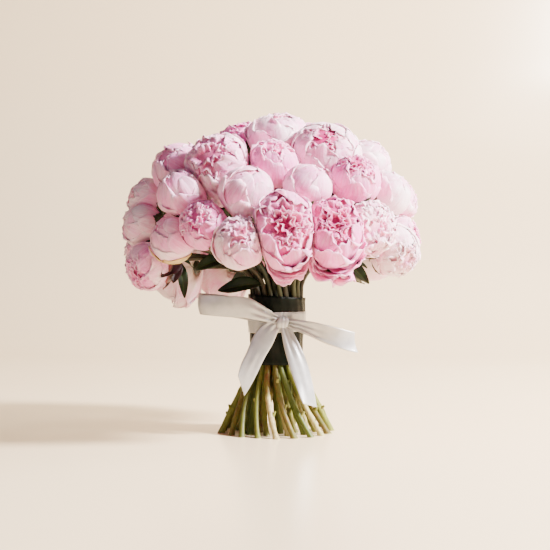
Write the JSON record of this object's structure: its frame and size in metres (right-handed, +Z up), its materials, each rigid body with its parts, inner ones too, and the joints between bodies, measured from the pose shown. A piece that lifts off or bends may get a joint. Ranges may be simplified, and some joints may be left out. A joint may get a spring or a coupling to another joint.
{
  "type": "bunch of peonies",
  "caption": "Hand-tied dome of full pale and pink peonies over spiralled stems, held by a dark sleeve and a satin ribbon bow, standing on its splayed cut ends.",
  "frame": {"origin": "middle of the central stem's cut foot, on the surface that the bunch stands on", "axes": "+Z up through the tie to the top of the dome, -Y towards the bow at the front, +X to the right"},
  "size_m": [0.3739, 0.365, 0.3959],
  "materials": {
    "petal_pale": "soft matt petal",
    "petal_pink": "soft matt petal",
    "stem_green": "smooth, slightly waxy",
    "wrap_satin": "dark satin",
    "ribbon_satin": "satin"
  },
  "bodies": {
    "root": {"bloom_01": "petal_pale", "bloom_02": "petal_pink", "bloom_03": "petal_pale", "bloom_04": "petal_pink", "bloom_05": "petal_pale", "bloom_06": "petal_pale", "bloom_07": "petal_pink", "bloom_08": "petal_pale", "bloom_09": "petal_pale", "bloom_10": "petal_pale", "bloom_11": "petal_pale", "bloom_12": "petal_pale", "bloom_13": "petal_pale", "bloom_14": "petal_pink", "bloom_15": "petal_pale", "bloom_16": "petal_pale", "bloom_17": "petal_pale", "bloom_18": "petal_pink", "bloom_19": "petal_pink", "bloom_20": "petal_pale", "bloom_21": "petal_pale", "bloom_22": "petal_pale", "bloom_23": "petal_pink", "bloom_24": "petal_pale", "bloom_25": "petal_pale", "bloom_26": "petal_pale", "bloom_27": "petal_pink", "bloom_28": "petal_pale", "bloom_29": "petal_pink", "bloom_30": "petal_pale", "bloom_31": "petal_pale", "bloom_32": "petal_pale", "bloom_33": "petal_pink", "bloom_34": "petal_pale", "bloom_35": "petal_pale", "bloom_36": "petal_pink", "bloom_37": "petal_pale", "bloom_38": "petal_pale", "bloom_39": "petal_pale", "bloom_40": "petal_pale", "stems_01": "stem_green", "stems_02": "stem_green", "stems_03": "stem_green", "stems_04": "stem_green", "stems_05": "stem_green", "stems_06": "stem_green", "stems_07": "stem_green", "stems_08": "stem_green", "stems_09": "stem_green", "stems_10": "stem_green", "stems_11": "stem_green", "stems_12": "stem_green", "stems_13": "stem_green", "stems_14": "stem_green", "stems_15": "stem_green", "stems_16": "stem_green", "stems_17": "stem_green", "stems_18": "stem_green", "stem_wrap": "wrap_satin", "ribbon": "ribbon_satin"}
  },
  "joints": []
}
